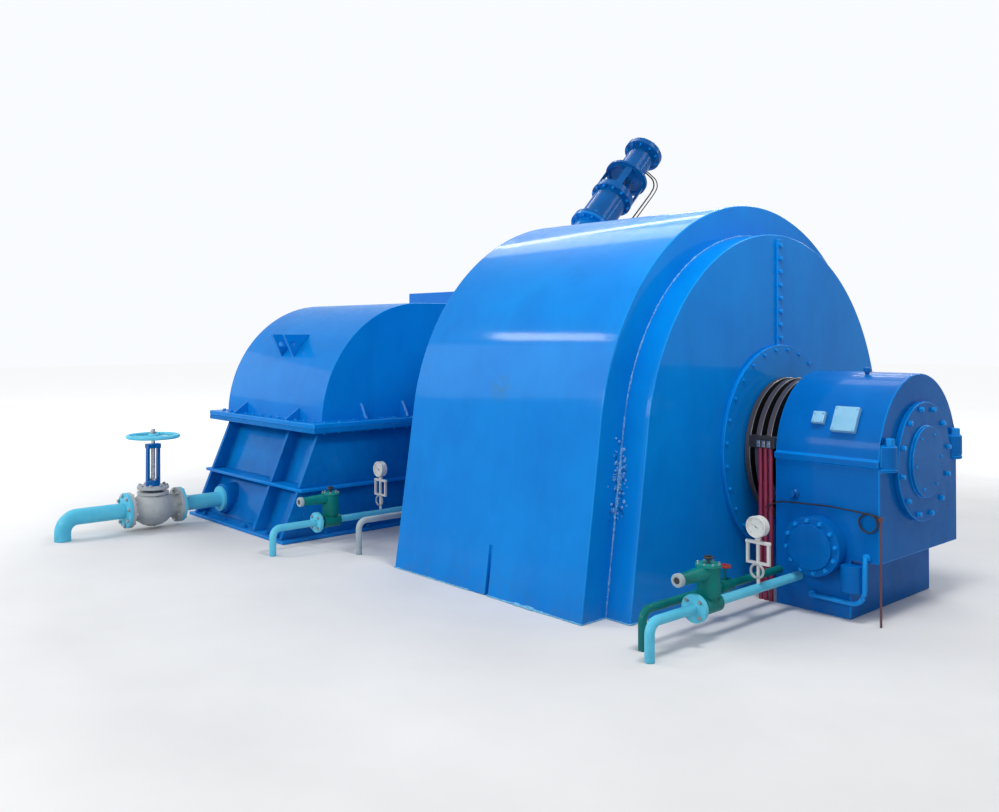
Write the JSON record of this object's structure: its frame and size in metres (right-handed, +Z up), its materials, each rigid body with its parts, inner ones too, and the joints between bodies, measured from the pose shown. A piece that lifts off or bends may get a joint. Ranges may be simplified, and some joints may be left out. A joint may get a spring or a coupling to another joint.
{
  "type": "hydroelectric generating set",
  "caption": "Horizontal hydroelectric generating set: arched generator hood, bearing pedestals, slip rings, Pelton turbine with needle servomotor, drain and cooling pipes.",
  "frame": {"origin": "on the floor, under the shaft's axis, at the middle of the generator hood", "axes": "+X along the shaft from the turbine to the outer bearing, +Y to the water inlet, +Z up"},
  "size_m": [5.518, 6.8286, 3.8542],
  "materials": {
    "hood_blue": "semi-gloss azure blue paint",
    "deep_blue": "semi-gloss blue paint, a little deeper",
    "pipe_blue": "light blue pipe paint",
    "pipe_green": "green valve paint",
    "bright_steel": "turned steel",
    "ring_metal": "dark steel with worn edges",
    "valve_grey": "silver-grey valve paint",
    "lead_red": "red cable sheath",
    "gauge_white": "white dial and light grey bracket"
  },
  "bodies": {
    "set": {"generator_hood": "hood_blue", "drum_near": "hood_blue", "drum_far": "hood_blue", "end_cover_near": "deep_blue", "end_cover_far": "deep_blue", "brush_gear": "ring_metal", "field_leads": "lead_red", "pedestal_near": "hood_blue", "pedestal_far": "hood_blue", "cap_near": "hood_blue", "cap_far": "hood_blue", "cap_covers": "pipe_blue", "bearing_end_near": "hood_blue", "bearing_end_far": "hood_blue", "cooler_near": "hood_blue", "cooler_far": "hood_blue", "turbine_casing": "deep_blue", "casing_ribs": "deep_blue", "casing_shelf": "deep_blue", "turbine_hood": "hood_blue", "hood_gussets": "hood_blue", "hood_lugs": "hood_blue", "nozzle_seat": "hood_blue", "nozzle_body": "hood_blue", "inlet_flange": "hood_blue", "servo_cylinder": "hood_blue", "servo_lantern": "deep_blue", "servo_head": "hood_blue", "drain_pipe": "pipe_blue", "valve_body": "valve_grey", "valve_yoke": "deep_blue", "drain_elbow": "pipe_blue", "cooling_pipe_near": "pipe_blue", "cooling_pipe_far": "pipe_blue", "control_valve_near": "pipe_green", "control_valve_far": "pipe_green", "gauge_near": "gauge_white", "gauge_far": "gauge_white", "return_pipe_near": "pipe_green", "return_pipe_far": "pipe_blue"},
    "rotor": {"main_shaft": "bright_steel", "slip_rings": "ring_metal"},
    "wheel": {"handwheel": "pipe_blue"},
    "stem": {"valve_stem": "bright_steel"},
    "needle": {"needle_rod": "bright_steel"}
  },
  "joints": [
    {"name": "rotor_spin", "type": "hinge", "parent": "set", "child": "rotor", "pos_m": [0, 0, 0.85], "axis": [1, 0, 0], "continuous": true},
    {"name": "handwheel_turn", "type": "hinge", "parent": "set", "child": "wheel", "pos_m": [-3.1, -2.44, 0.748], "axis": [0, 0, 1], "range_deg": [0, 6840]},
    {"name": "stem_rise", "type": "slide", "parent": "set", "child": "stem", "axis": [0, 0, 1], "range_m": [0, 0.153]},
    {"name": "needle_travel", "type": "slide", "parent": "set", "child": "needle", "axis": [0, 0.7071, 0.7071], "range_m": [0, 0.1]}
  ],
  "couplings": [
    {"joint": "stem_rise", "follows": "handwheel_turn", "m_per_rad": 0.0012732}
  ]
}
